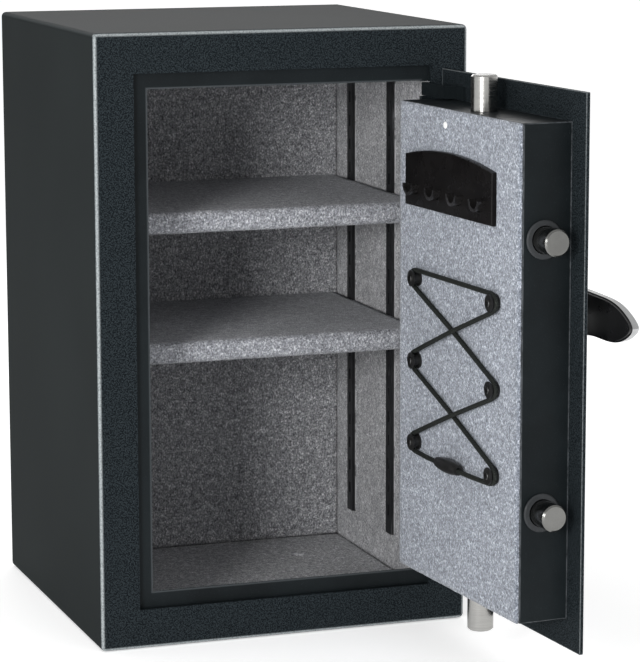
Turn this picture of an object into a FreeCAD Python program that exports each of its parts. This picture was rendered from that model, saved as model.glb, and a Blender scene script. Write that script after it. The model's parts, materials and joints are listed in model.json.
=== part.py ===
import FreeCAD, Part
import math
import os

from FreeCAD import Placement, Rotation, Vector

# A compact free-standing gun safe with its door open and its four bolts thrown.
# Frame: +X to the right, +Y to the back, +Z up, millimetres.
# Origin: centre of the case's footprint, on the floor.
# Every door piece is drawn with the door shut, then swung about the hinge axis.
# A solid that cuts another starts 1 mm before the material and ends at least 1 mm past it.

DIMENSIONS = {
    # Case
    "case_width": 380.0, "case_depth": 372.0, "case_height": 600.0, "case_wall": 3.0,
    "edge_round": 5.0, "frame_width": 39.0, "liner_thick": 3.0, "fit_gap": 0.3,
    # Jamb behind the front frame: a rebate for the door and a ledge that stops it
    "rebate_depth": 8.0, "ledge_width": 15.5, "hinge_ledge_width": 8.0, "jamb_sheet": 2.0,
    # Hinge axis, measured from the case's right side and front
    "hinge_inset": 29.5, "hinge_setback": 7.5, "door_open": 93.8,
    "pin_radius": 2.5, "pin_play": 0.05, "eye_radius": 4.0, "arm_tall": 12.5, "arm_thick": 3.0,
    "arm_reach": 13.0, "arm_long": 50.0, "arm_foot": 14.0, "arm_clear": 1.5,
    "ear_tall": 7.0, "ear_size": 9.0, "ear_gap": 0.5,
    # Door
    "door_gap": 3.0, "door_setback": 3.5, "plate_thick": 4.0, "plate_chamfer": 0.8,
    "spindle_play": 0.5, "cable_radius": 5.0, "pan_round": 1.5, "pan_depth": 49.0, "pan_sheet": 2.0,
    "pan_hinge_margin": 12.5, "pan_free_margin": 26.0, "pan_end_margin": 28.0, "panel_thick": 3.0,
    # Bolts
    "bolt_radius": 12.5, "bolt_setback": 35.5, "bolt_play": 0.6, "bolt_travel": 27.0,
    "side_bolt_tip": 40.0, "side_bolt_high": 424.5, "side_bolt_low": 173.0, "side_bolt_long": 58.0,
    "end_bolt_long": 64.0, "top_bolt_tip": 564.0, "bottom_bolt_tip": 33.0,
    "bolt_chamfer": 1.5, "collar_radius": 18.0, "collar_thick": 3.0, "collar_chamfer": 1.0,
    # Bars that carry the bolts
    "bar_thick": 3.0, "bar_past_bolt": 16.0, "bar_near": 2.0, "bar_far": 16.0, "foot_past_pin": 9.0,
    "tab_half": 11.0, "slot_play": 0.5,
    # Handle, spindle and drive disc
    "handle_up": 343.0, "spindle_radius": 7.0, "disc_radius": 38.0, "disc_setback": 18.0,
    "disc_thick": 4.0, "drive_radius": 32.0, "drive_pin_radius": 3.5, "half_turn": 25.0,
    "lever_reach": 158.0, "lever_standoff": 38.0, "lever_back_thick": 2.5, "lever_cap_thick": 8.0,
    "lever_hub_radius": 25.0, "lever_neck_radius": 12.0,
    "lever_fillet": 3.0, "backing_inset": 1.2, "bezel_radius": 32.0, "bezel_thick": 8.0,
    "bezel_chamfer": 2.0, "bezel_gap": 0.5,
    # Shelves and their standards
    "shelf_thick": 22.0, "shelf_front": 100.0, "shelf_high": 414.0, "shelf_low": 283.0,
    "cover_thick": 2.0, "cover_round": 7.0, "board_round": 4.0,
    "standard_wide": 16.0, "standard_deep": 4.5, "standard_foot": 46.0, "standard_head": 545.0,
    "standard_front": 190.0, "standard_back": 310.0, "slot_pitch": 25.4,
    "slot_wide": 4.0, "slot_tall": 12.0, "slot_deep": 2.5, "clip_reach": 14.0, "clip_side": 12.0,
    "clip_thick": 3.0, "clip_gap": 0.1, "shelf_gap": 1.0,
    # Anchor holes in the floor
    "anchor_radius": 6.5, "anchor_wide": 220.0, "anchor_deep": 200.0,
    # Lash cord and its pegs on the door panel
    "peg_free": 113.0, "peg_hinge": 280.5, "peg_top": 362.0, "peg_pitch": 80.5, "peg_radius": 8.0,
    "peg_groove": 5.0, "groove_play": 1.6, "peg_flange": 1.2, "peg_screw_radius": 2.0,
    "peg_head_radius": 3.6, "peg_head_proud": 1.6,
    "cord_radius": 2.25, "cord_over": 3.4, "cord_under": 1.3,
    "cord_bow_radius": 300.0, "lock_long": 44.0, "lock_radius": 7.0, "lock_lift": 3.6,
    # Key rack
    "rack_left": 115.0, "rack_right": 301.5, "rack_foot": 432.0, "rack_shoulder": 481.0,
    "rack_rise": 9.0, "rack_deep": 5.0, "rack_sheet": 2.0, "hook_pitch": 47.5, "hook_up": 454.0,
    "hook_radius": 11.0, "hook_out": 8.0, "hook_wall": 1.6, "hook_lip": 3.2,
    "screw_across": 31.0, "screw_up": 515.0, "screw_radius": 3.4, "screw_proud": 1.8,
    # Keypad on the outside of the door
    "keypad_up": 455.0, "keypad_wide": 84.0, "keypad_tall": 118.0, "keypad_deep": 20.0,
    "lock_left": 30.0, "lock_wide": 58.0, "lock_deep": 36.0, "lock_tall": 80.0, "lock_round": 3.0,
    "lock_pin_radius": 3.5, "lock_pin_tip": 1.0, "lock_pin_long": 50.0, "lock_pin_travel": 8.0,
    "key_size": 16.0, "key_pitch_across": 22.0, "key_pitch_down": 23.0, "key_rise": 2.5, "key_travel": 1.5,
    "key_well": 8.0, "key_play": 0.3, "key_round": 1.0, "keypad_round": 5.0,
}

doc = FreeCAD.newDocument("gun_safe")
sheet = doc.addObject("Spreadsheet::Sheet", "dim")
for row, (alias, value) in enumerate(DIMENSIONS.items(), start=1):
    sheet.set(f"A{row}", alias)
    sheet.set(f"B{row}", str(value))
    sheet.setAlias(f"B{row}", alias)
doc.recompute()

pieces = []


def value(alias):
    """A driving dimension as a number, read back from the sheet."""
    return float(sheet.get(alias))


def named(expression):
    """Turns the bare words of an expression into references to the sheet."""
    text = str(expression)
    for alias in sorted(DIMENSIONS, key=len, reverse=True):
        text = text.replace(alias, "\0" + str(list(DIMENSIONS).index(alias)) + "\0")
    for number, alias in enumerate(DIMENSIONS):
        text = text.replace("\0" + str(number) + "\0", "dim." + alias)
    return text


# Places of the case's own faces, as words for expressions.
LEFT = "(-case_width / 2)"
RIGHT = "(case_width / 2)"
FRONT = "(-case_depth / 2)"
BACK = "(case_depth / 2)"
HINGE_X = "(case_width / 2 - hinge_inset)"
HINGE_Y = "(-case_depth / 2 + hinge_setback)"


def bind(feature, **expressions):
    for path, expression in expressions.items():
        feature.setExpression(path.replace("__", "."), named(expression))


def box(x_low, x_high, y_low, y_high, z_low, z_high):
    """A box between two corners, each place an expression."""
    feature = doc.addObject("Part::Box", "box")
    bind(feature, Length=f"({x_high}) - ({x_low})", Width=f"({y_high}) - ({y_low})",
         Height=f"({z_high}) - ({z_low})", Placement__Base__x=x_low, Placement__Base__y=y_low,
         Placement__Base__z=z_low)
    return feature


DIRECTIONS = {"x": Vector(1, 0, 0), "y": Vector(0, 1, 0), "z": Vector(0, 0, 1)}


def rod(axis, x, y, z, radius, length):
    """A cylinder that starts at a place and runs along +X, +Y or +Z."""
    feature = doc.addObject("Part::Cylinder", "rod")
    feature.Placement = Placement(Vector(), Rotation(DIRECTIONS["z"], DIRECTIONS[axis]))
    bind(feature, Radius=radius, Height=length, Placement__Base__x=x, Placement__Base__y=y,
         Placement__Base__z=z)
    return feature


def cut(base, *tools):
    """The base with each tool taken away."""
    for tool in tools:
        feature = doc.addObject("Part::Cut", "cut")
        feature.Base = base
        feature.Tool = tool
        base = feature
    return base


def fuse(*shapes):
    feature = doc.addObject("Part::MultiFuse", "fuse")
    feature.Shapes = list(shapes)
    feature.Refine = True
    return feature


def rounded(base, radius, chosen):
    """The base with the edges that a test chooses rounded."""
    doc.recompute()
    feature = doc.addObject("Part::Fillet", "rounded")
    feature.Base = base
    feature.Edges = [(n, radius, radius) for n, edge in enumerate(base.Shape.Edges, 1) if chosen(edge)]
    return feature


def chamfered(base, size, chosen):
    doc.recompute()
    feature = doc.addObject("Part::Chamfer", "chamfered")
    feature.Base = base
    feature.Edges = [(n, size, size) for n, edge in enumerate(base.Shape.Edges, 1) if chosen(edge)]
    return feature


def along(edge, direction):
    """True for a straight edge parallel to a direction."""
    if edge.Curve.TypeId != "Part::GeomLine":
        return False
    return abs(edge.tangentAt(edge.FirstParameter).dot(direction)) > 0.999


def circular(edge):
    return edge.Curve.TypeId == "Part::GeomCircle"


def sub_part(label, *shapes, on_door=False):
    """One named sub-part: a group of separate solids, swung open with the door if it is on it."""
    feature = doc.addObject("Part::Compound", label)
    feature.Links = list(shapes)
    feature.Label = label
    if on_door:
        feature.Placement = Placement(Vector(), Rotation(DIRECTIONS["z"], 1))
        cosine = "cos(door_open * 1deg)"
        sine = "sin(door_open * 1deg)"
        bind(feature, Placement__Rotation__Angle="door_open",
             Placement__Base__x=f"{HINGE_X} * (1 - {cosine}) + {HINGE_Y} * {sine}",
             Placement__Base__y=f"{HINGE_Y} * (1 - {cosine}) - {HINGE_X} * {sine}")
    pieces.append(feature)
    return feature


# Door's outline and the space inside its pan.
PLATE_LEFT = f"({LEFT} + frame_width + door_gap)"
PLATE_RIGHT = f"({RIGHT} - frame_width - door_gap)"
PLATE_LOW = "(frame_width + door_gap)"
PLATE_HIGH = "(case_height - frame_width - door_gap)"
PLATE_FRONT = f"({FRONT} + door_setback)"
PLATE_BACK = f"({FRONT} + door_setback + plate_thick)"
PAN_LEFT = f"({PLATE_LEFT} + pan_free_margin)"
PAN_RIGHT = f"({PLATE_RIGHT} - pan_hinge_margin)"
PAN_LOW = f"({PLATE_LOW} + pan_end_margin)"
PAN_HIGH = f"({PLATE_HIGH} - pan_end_margin)"
PAN_BACK = f"({PLATE_BACK} + pan_depth)"
PANEL_BACK = f"({PAN_BACK} + panel_thick)"
BOLT_Y = f"({FRONT} + bolt_setback)"


def case_shell():
    """Folded outer case with the front frame round the door opening and four anchor holes."""
    block = box(LEFT, RIGHT, FRONT, BACK, 0, "case_height")
    block = rounded(block, value("edge_round"), lambda edge: True)
    inside = box(f"{LEFT} + case_wall", f"{RIGHT} - case_wall", f"{FRONT} + case_wall",
                 f"{BACK} - case_wall", "case_wall", "case_height - case_wall")
    doorway = box(f"{LEFT} + frame_width", f"{RIGHT} - frame_width", f"{FRONT} - 1",
                  f"{FRONT} + case_wall + 1", "frame_width", "case_height - frame_width")
    sub_part("case_shell", cut(block, inside, doorway, *anchor_holes("-1", "case_wall + 2")))


def anchor_holes(z, length):
    return [rod("z", f"{x} * anchor_wide / 2", f"{y} * anchor_deep / 2", z, "anchor_radius", length)
            for x in (-1, 1) for y in (-1, 1)]


def door_jamb():
    """Z-section jamb: a rebate round the door, then a ledge, with two notches for the hinge arms."""
    low = "frame_width"
    high = "case_height - frame_width"
    walls = box(f"{LEFT} + {low} - jamb_sheet", f"{RIGHT} - {low} + jamb_sheet", f"{FRONT} + case_wall",
                f"{FRONT} + rebate_depth + jamb_sheet", f"{low} - jamb_sheet", f"{high} + jamb_sheet")
    rebate = box(f"{LEFT} + {low}", f"{RIGHT} - {low}", f"{FRONT} + case_wall - 1",
                 f"{FRONT} + rebate_depth", low, high)
    way_in = box(f"{LEFT} + {low} + ledge_width", f"{RIGHT} - {low} - hinge_ledge_width", FRONT,
                 f"{FRONT} + rebate_depth + jamb_sheet + 1", f"{low} + ledge_width",
                 f"{high} - ledge_width")
    notches = [box(f"{RIGHT} - {low} - hinge_ledge_width - 1", f"{RIGHT} - {low} + jamb_sheet + 1",
                   f"{FRONT} + case_wall - 1", f"{FRONT} + rebate_depth + jamb_sheet + 1",
                   f"{z} - arm_tall / 2 - 1", f"{z} + arm_tall / 2 + 1") for z in ARM_HEIGHTS]
    sub_part("door_jamb", cut(walls, rebate, way_in, *notches))


ARM_HEIGHTS = (f"({PAN_LOW} - arm_clear - arm_tall / 2)", f"({PAN_HIGH} + arm_clear + arm_tall / 2)")


def liners():
    """Five carpeted boards that line the case."""
    left = f"{LEFT} + case_wall"
    right = f"{RIGHT} - case_wall"
    front = f"{FRONT} + rebate_depth + jamb_sheet + fit_gap"
    back = f"{BACK} - case_wall"
    low = "case_wall"
    high = "case_height - case_wall"
    sub_part("liner_floor", cut(box(left, right, front, back, low, f"{low} + liner_thick"),
                                *anchor_holes("0", "case_wall + liner_thick + 2")))
    sub_part("liner_ceiling", box(left, right, front, back, f"{high} - liner_thick", high))
    within = (f"{low} + liner_thick", f"{high} - liner_thick")
    sub_part("liner_back", box(left, right, f"{back} - liner_thick", back, *within))
    sub_part("liner_left", box(left, f"{left} + liner_thick", front, f"{back} - liner_thick", *within))
    sub_part("liner_right", box(f"{right} - liner_thick", right, front, f"{back} - liner_thick", *within))


def shelf_standards():
    """Four slotted steel standards, two on each side wall."""
    slots = int((value("standard_head") - value("standard_foot")) / value("slot_pitch")) - 1
    for side, wall_x, sign in (("left", f"{LEFT} + case_wall + liner_thick", 1),
                               ("right", f"{RIGHT} - case_wall - liner_thick", -1)):
        for place in ("front", "back"):
            middle = f"({FRONT} + standard_{place})"
            face = f"({wall_x} + ({sign}) * standard_deep)"
            x_places = (wall_x, face) if sign > 0 else (face, wall_x)
            strip = box(*x_places, f"{middle} - standard_wide / 2", f"{middle} + standard_wide / 2",
                        "standard_foot", "standard_head")
            openings = []
            for number in range(slots):
                z = f"standard_foot + slot_pitch * {number + 1}"
                pocket_x = (f"{face} - slot_deep", f"{face} + 1")
                if sign < 0:
                    pocket_x = (f"{face} - 1", f"{face} + slot_deep")
                openings.append(box(*pocket_x, f"{middle} - slot_wide / 2", f"{middle} + slot_wide / 2",
                                    f"{z} - slot_tall / 2", f"{z} + slot_tall / 2"))
            sub_part(f"standard_{side}_{place}", cut(strip, fuse(*openings)))


def shelves():
    """Two boards, each in a carpet sleeve, resting on four clips."""
    left = f"({LEFT} + case_wall + liner_thick + standard_deep + shelf_gap)"
    right = f"({RIGHT} - case_wall - liner_thick - standard_deep - shelf_gap)"
    front = f"({FRONT} + shelf_front)"
    back = f"({BACK} - case_wall - liner_thick - shelf_gap)"
    for name, top in (("upper", "shelf_high"), ("lower", "shelf_low")):
        section = (f"{front} + cover_thick", f"{back} - cover_thick", f"{top} - shelf_thick + cover_thick",
                   f"{top} - cover_thick")
        lengthways = lambda edge: along(edge, DIRECTIONS["x"])
        board = rounded(box(left, right, *section), value("board_round"), lengthways)
        sub_part(f"{name}_shelf_board", board)
        space = rounded(box(f"{left} - 1", f"{right} + 1", *section), value("board_round"), lengthways)
        sleeve = rounded(box(left, right, front, back, f"{top} - shelf_thick", top), value("cover_round"),
                         lengthways)
        sub_part(f"{name}_shelf_cover", cut(sleeve, space))
    clips = []
    for top in ("shelf_high", "shelf_low"):
        for place in ("front", "back"):
            middle = f"({FRONT} + standard_{place})"
            for x_places in ((f"{left} - shelf_gap + clip_gap", f"{left} + clip_reach"),
                             (f"{right} - clip_reach", f"{right} + shelf_gap - clip_gap")):
                clips.append(box(*x_places, f"{middle} - clip_side / 2", f"{middle} + clip_side / 2",
                                 f"{top} - shelf_thick - clip_thick", f"{top} - shelf_thick"))
    sub_part("shelf_clips", *clips)


def hinge_brackets():
    """Two ears at each hinge arm, one above it and one below, each bored for the pin."""
    ears = []
    reach = "(arm_tall / 2 + ear_gap)"
    for z in ARM_HEIGHTS:
        for low, high in ((f"{z} - {reach} - ear_tall", f"{z} - {reach}"),
                          (f"{z} + {reach}", f"{z} + {reach} + ear_tall")):
            ear = box(f"{HINGE_X} - ear_size / 2", f"{RIGHT} - case_wall - liner_thick - fit_gap",
                      f"{FRONT} + case_wall", f"{FRONT} + case_wall + ear_size", low, high)
            ears.append(cut(ear, rod("z", HINGE_X, HINGE_Y, f"{low} - 1", "pin_radius", "ear_tall + 2")))
    sub_part("hinge_brackets", *ears)
    pins = [rod("z", HINGE_X, HINGE_Y, f"{z} - {reach} - ear_tall", "pin_radius",
                f"2 * {reach} + 2 * ear_tall") for z in ARM_HEIGHTS]
    sub_part("hinge_pins", *pins)


def hinge_arms():
    """Goosenecks: an eye on the pin, a leg round the frame's edge and a foot on the door plate."""
    for name, z in zip(("lower", "upper"), ARM_HEIGHTS):
        span = (f"{z} - arm_tall / 2", f"{z} + arm_tall / 2")
        near = f"({HINGE_Y} + arm_reach)"
        far = f"({HINGE_Y} + arm_reach + arm_thick)"
        end = f"({HINGE_X} - arm_long)"
        arm = fuse(rod("z", HINGE_X, HINGE_Y, span[0], "eye_radius", "arm_tall"),
                   box(f"{HINGE_X} - arm_thick / 2", f"{HINGE_X} + arm_thick / 2", HINGE_Y, far, *span),
                   box(end, f"{HINGE_X} + arm_thick / 2", near, far, *span),
                   box(end, f"{end} + arm_thick", PLATE_BACK, far, *span),
                   box(f"{end} - arm_foot", f"{end} + arm_thick", PLATE_BACK, f"{PLATE_BACK} + arm_thick",
                       *span))
        bore = rod("z", HINGE_X, HINGE_Y, f"{span[0]} - 1", "pin_radius + pin_play", "arm_tall + 2")
        sub_part(f"hinge_arm_{name}", cut(arm, bore), on_door=True)


def door_plate():
    """Outer door plate, bored for the spindle and the keypad's cable."""
    plate = box(PLATE_LEFT, PLATE_RIGHT, PLATE_FRONT, PLATE_BACK, PLATE_LOW, PLATE_HIGH)
    plate = chamfered(plate, value("plate_chamfer"), lambda edge: edge.CenterOfMass.y
                      < value("door_setback") - value("case_depth") / 2 + 0.1)
    bore = rod("y", 0, f"{PLATE_FRONT} - 1", "handle_up", "spindle_radius + spindle_play",
               "plate_thick + 2")
    cable_hole = rod("y", 0, f"{PLATE_FRONT} - 1", "keypad_up", "cable_radius", "plate_thick + 2")
    sub_part("door_plate", cut(plate, bore, cable_hole), on_door=True)


def door_pan():
    """Sheet pan behind the plate that covers the boltwork, with a hole for each bolt."""
    pan = box(PAN_LEFT, PAN_RIGHT, PLATE_BACK, PAN_BACK, PAN_LOW, PAN_HIGH)
    pan = rounded(pan, value("pan_round"), lambda edge: edge.CenterOfMass.y > value("pan_depth") / 2
                  - value("case_depth") / 2)
    inside = box(f"{PAN_LEFT} + pan_sheet", f"{PAN_RIGHT} - pan_sheet", f"{PLATE_BACK} - 1",
                 f"{PAN_BACK} - pan_sheet", f"{PAN_LOW} + pan_sheet", f"{PAN_HIGH} - pan_sheet")
    hole = "bolt_radius + bolt_play"
    holes = [rod("x", f"{PAN_LEFT} - 1", BOLT_Y, z, hole, "pan_sheet + 2")
             for z in ("side_bolt_high", "side_bolt_low")]
    holes += [rod("z", 0, BOLT_Y, f"{z} - pan_sheet - 1", hole, "2 * pan_sheet + 2")
              for z in (PAN_LOW, PAN_HIGH)]
    sub_part("door_pan", cut(pan, inside, *holes), on_door=True)
    panel = rounded(box(PAN_LEFT, PAN_RIGHT, PAN_BACK, PANEL_BACK, PAN_LOW, PAN_HIGH),
                    value("pan_round"), lambda edge: edge.CenterOfMass.y > value("pan_depth")
                    + value("plate_thick") + value("door_setback") + value("panel_thick")
                    - value("case_depth") / 2 - 0.1)
    sub_part("door_panel", panel, on_door=True)
    collars = []
    for z in ("side_bolt_high", "side_bolt_low"):
        ring = rod("x", f"{PAN_LEFT} - collar_thick", BOLT_Y, z, "collar_radius", "collar_thick")
        ring = chamfered(ring, value("collar_chamfer"), circular)
        collars.append(cut(ring, rod("x", f"{PAN_LEFT} - collar_thick - 1", BOLT_Y, z, hole,
                                     "collar_thick + 2")))
    sub_part("bolt_collars", *collars, on_door=True)


def bolts():
    """Four round bolts, thrown: two at the free side, one at the top and one at the bottom."""
    for name, z in (("upper", "side_bolt_high"), ("lower", "side_bolt_low")):
        bolt = rod("x", f"{LEFT} + side_bolt_tip", BOLT_Y, z, "bolt_radius", "side_bolt_long")
        sub_part(f"side_bolt_{name}", chamfered(bolt, value("bolt_chamfer"), circular), on_door=True)
    for name, low in (("top", "top_bolt_tip - end_bolt_long"), ("bottom", "bottom_bolt_tip")):
        bolt = rod("z", 0, BOLT_Y, low, "bolt_radius", "end_bolt_long")
        sub_part(f"{name}_bolt", chamfered(bolt, value("bolt_chamfer"), circular), on_door=True)


# Boltwork levels behind the plate, from front to back.
CARRIAGE_FRONT = f"({FRONT} + disc_setback + disc_thick + 1)"
CARRIAGE_BACK = f"({CARRIAGE_FRONT} + bar_thick)"
ROD_FRONT = f"({CARRIAGE_BACK} + 2)"
ROD_BACK = f"({ROD_FRONT} + bar_thick)"
NEAR_PIN = "drive_radius * sin(half_turn * 1deg)"
FAR_PIN = "drive_radius * cos(half_turn * 1deg)"
SLOT_HALF = "(drive_pin_radius + slot_play)"


def bolt_carriage():
    """Flat bar that carries both side bolts, with an arm that the drive disc pushes."""
    butt = f"({LEFT} + side_bolt_tip + side_bolt_long)"
    pin_x = f"({NEAR_PIN} * -1)"
    pin_z = f"(handle_up - {FAR_PIN})"
    bar = box(butt, f"{butt} + bar_past_bolt", CARRIAGE_FRONT, CARRIAGE_BACK,
              "side_bolt_low - bar_past_bolt", "side_bolt_high + bar_past_bolt")
    arm = box(f"{butt} + bar_past_bolt / 2", f"{pin_x} + foot_past_pin", CARRIAGE_FRONT, CARRIAGE_BACK,
              f"{pin_z} - 14", f"{pin_z} + foot_past_pin")
    tabs = [box(butt, f"{butt} + bar_thick", CARRIAGE_FRONT, f"{BOLT_Y} + bolt_radius - 2",
                f"{z} - tab_half", f"{z} + tab_half") for z in ("side_bolt_high", "side_bolt_low")]
    slot = box(f"{pin_x} - {SLOT_HALF}", f"{pin_x} + {SLOT_HALF}", f"{CARRIAGE_FRONT} - 1",
               f"{CARRIAGE_BACK} + 1", f"{pin_z} - drive_radius + {FAR_PIN} - {SLOT_HALF}",
               f"{pin_z} + {SLOT_HALF}")
    sub_part("bolt_carriage", cut(fuse(bar, arm, *tabs), slot), on_door=True)


def end_rods():
    """Flat rods that carry the top and bottom bolts, each with a foot over one drive pin."""
    upper_butt = "(top_bolt_tip - end_bolt_long)"
    lower_butt = "(bottom_bolt_tip + end_bolt_long)"
    for name, sign, butt in (("top", -1, upper_butt), ("bottom", 1, lower_butt)):
        pin_z = f"(handle_up - ({sign}) * {NEAR_PIN})"
        outer = f"({sign}) * (drive_radius + foot_past_pin)"
        slot_near = f"({sign}) * ({FAR_PIN} - {SLOT_HALF})"
        slot_far = f"({sign}) * (drive_radius + {SLOT_HALF})"
        if sign < 0:
            ends = (f"{pin_z} - foot_past_pin", butt)
            bar_x = ("-bar_far", "-bar_near")
            foot_x = (outer, "-bar_near")
            slot_x = (slot_far, slot_near)
            tab = (f"{butt} - bar_thick", butt)
        else:
            ends = (butt, f"{pin_z} + foot_past_pin")
            bar_x = ("bar_near", "bar_far")
            foot_x = ("bar_near", outer)
            slot_x = (slot_near, slot_far)
            tab = (butt, f"{butt} + bar_thick")
        bar = box(*bar_x, ROD_FRONT, ROD_BACK, *ends)
        foot = box(*foot_x, ROD_FRONT, ROD_BACK, f"{pin_z} - foot_past_pin", f"{pin_z} + foot_past_pin")
        plate = box("-tab_half", "tab_half", ROD_FRONT, f"{BOLT_Y} + bolt_radius - 2", *tab)
        slot = box(*slot_x, f"{ROD_FRONT} - 1", f"{ROD_BACK} + 1", f"{pin_z} - {SLOT_HALF}",
                   f"{pin_z} + {SLOT_HALF}")
        tools = [slot]
        if name == "top":
            for notch_z in ("keypad_up", "(keypad_up + bolt_travel)"):
                tools.append(box("lock_pin_tip - lock_pin_travel - 2", 0, f"{ROD_FRONT} - 1",
                                 f"{ROD_BACK} + 1", f"{notch_z} - lock_pin_radius - 1",
                                 f"{notch_z} + lock_pin_radius + 1"))
        sub_part(f"{name}_rod", cut(fuse(bar, foot, plate), *tools), on_door=True)


def drive_parts():
    """Spindle through the door and the disc on its end, whose three pins move the bolts."""
    outer_end = f"({PLATE_FRONT} - lever_standoff)"
    spindle = rod("y", 0, outer_end, "handle_up", "spindle_radius",
                  "disc_setback + disc_thick + lever_standoff - door_setback")
    sub_part("handle_spindle", spindle, on_door=True)
    disc_front = f"({FRONT} + disc_setback)"
    disc = rod("y", 0, disc_front, "handle_up", "disc_radius", "disc_thick")
    disc = cut(disc, rod("y", 0, f"{disc_front} - 1", "handle_up", "spindle_radius", "disc_thick + 2"))
    top = f"{disc_front} + disc_thick"
    pins = [rod("y", f"{NEAR_PIN} * -1", top, f"handle_up - {FAR_PIN}", "drive_pin_radius", 4.5),
            rod("y", f"{FAR_PIN} * -1", top, f"handle_up + {NEAR_PIN}", "drive_pin_radius", 10),
            rod("y", FAR_PIN, top, f"handle_up - {NEAR_PIN}", "drive_pin_radius", 10)]
    sub_part("drive_disc", fuse(disc, *pins), on_door=True)


def lever_outline(inset):
    """Closed outline of the lever in the XZ plane: a round hub that tapers to a blunt, drooping tip."""
    reach = value("lever_reach") - inset
    hub = value("lever_hub_radius") - inset
    top_start = Vector(-4.0, 0, hub)
    top_middle = Vector(-0.62 * reach, 0, 22.0 - inset)
    tip_top = Vector(-0.93 * reach, 0, 10.5 - 0.5 * inset)
    tip = Vector(-reach, 0, -0.5)
    tip_low = Vector(-0.95 * reach, 0, -8.5 + 0.8 * inset)
    low_middle = Vector(-0.55 * reach, 0, -17.5 + inset)
    low_start = Vector(-4.0, 0, -hub)
    crest = Part.BSplineCurve()
    crest.interpolate([top_start, top_middle, tip_top, tip, tip_low, low_middle, low_start],
                      InitialTangent=Vector(-1, 0, 0), FinalTangent=Vector(1, 0, 0))
    back = Part.Arc(low_start, Vector(hub, 0, 0), top_start)
    return Part.Face(Part.Wire([crest.toShape(), back.toShape()]))


def lever():
    """Lever handle: a black backing and a bright cap, both solid, on the spindle's outer end."""
    standoff = value("lever_standoff")
    plate_front = value("door_setback") - value("case_depth") / 2
    up = value("handle_up")
    layers = (("lever_backing", value("backing_inset"), standoff, value("lever_back_thick")),
              ("lever_cap", 0.0, standoff + value("lever_back_thick"), value("lever_cap_thick")))
    for label, inset, distance, thick in layers:
        feature = doc.addObject("Part::Feature", label + "_body")
        solid = lever_outline(inset).extrude(Vector(0, -thick, 0))
        if label == "lever_cap":
            front_edges = [edge for edge in solid.Edges if edge.CenterOfMass.y < -thick + 0.01]
            solid = solid.makeFillet(value("lever_fillet"), front_edges)
        feature.Shape = solid
        feature.Placement = Placement(Vector(0, plate_front - distance, up), Rotation())
        sub_part(label, feature, on_door=True)
    neck = rod("y", 0, f"{PLATE_FRONT} - lever_standoff", "handle_up", "lever_neck_radius",
               "lever_standoff - bezel_thick - bezel_gap")
    neck = cut(neck, rod("y", 0, f"{PLATE_FRONT} - lever_standoff - 1", "handle_up", "spindle_radius",
                         "lever_standoff + 2"))
    sub_part("lever_neck", neck, on_door=True)
    bezel = rod("y", 0, f"{PLATE_FRONT} - bezel_thick", "handle_up", "bezel_radius", "bezel_thick")
    bezel = chamfered(bezel, value("bezel_chamfer"),
                      lambda edge: edge.CenterOfMass.y < plate_front - 1 and circular(edge))
    bore = rod("y", 0, f"{PLATE_FRONT} - bezel_thick - 1", "handle_up", "spindle_radius + spindle_play",
               "bezel_thick + 2")
    sub_part("handle_bezel", cut(bezel, bore), on_door=True)


def keypad():
    """Keypad housing with twelve keys in three columns, and the lock case inside the door."""
    front = f"({PLATE_FRONT} - keypad_deep)"
    housing = box("-keypad_wide / 2", "keypad_wide / 2", front, PLATE_FRONT, "keypad_up - keypad_tall / 2",
                  "keypad_up + keypad_tall / 2")
    plate_front = value("door_setback") - value("case_depth") / 2
    housing = rounded(housing, value("keypad_round"), lambda edge: edge.CenterOfMass.y < plate_front - 1)
    labels = ("1", "2", "3", "4", "5", "6", "7", "8", "9", "star", "0", "hash")
    wells = []
    keys = []
    for number, label in enumerate(labels):
        x = f"({number % 3 - 1} * key_pitch_across)"
        z = f"(keypad_up + {1.5 - number // 3} * key_pitch_down)"
        half_well = "(key_size / 2 + key_play)"
        wells.append(box(f"{x} - {half_well}", f"{x} + {half_well}", f"{front} - 1", f"{front} + key_well",
                         f"{z} - {half_well}", f"{z} + {half_well}"))
        key = box(f"{x} - key_size / 2", f"{x} + key_size / 2", f"{front} - key_rise",
                  f"{front} + key_well - key_travel - key_play", f"{z} - key_size / 2", f"{z} + key_size / 2")
        keys.append((label, rounded(key, value("key_round"), lambda edge: edge.CenterOfMass.y < plate_front
                                    - value("keypad_deep") - 1 or along(edge, DIRECTIONS["y"]))))
    sub_part("keypad_housing", cut(housing, fuse(*wells)), on_door=True)
    for label, key in keys:
        sub_part(f"key_{label}", key, on_door=True)


def lock_parts():
    """Lock case on the plate's back, with a pin that holds the top rod thrown or drawn back."""
    case = box("lock_left", "lock_left + lock_wide", PLATE_BACK, f"{PLATE_BACK} + lock_deep",
               "keypad_up - lock_tall / 2", "keypad_up + lock_tall / 2")
    case = rounded(case, value("lock_round"), lambda edge: along(edge, DIRECTIONS["y"]))
    pin_y = f"({ROD_FRONT} + ({ROD_BACK} - {ROD_FRONT}) / 2)"
    bore = rod("x", "lock_left - 1", pin_y, "keypad_up", "lock_pin_radius + pin_play", "lock_pin_long")
    sub_part("lock_case", cut(case, bore), on_door=True)
    pin = rod("x", "lock_pin_tip", pin_y, "keypad_up", "lock_pin_radius", "lock_pin_long")
    sub_part("lock_pin", pin, on_door=True)


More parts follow.
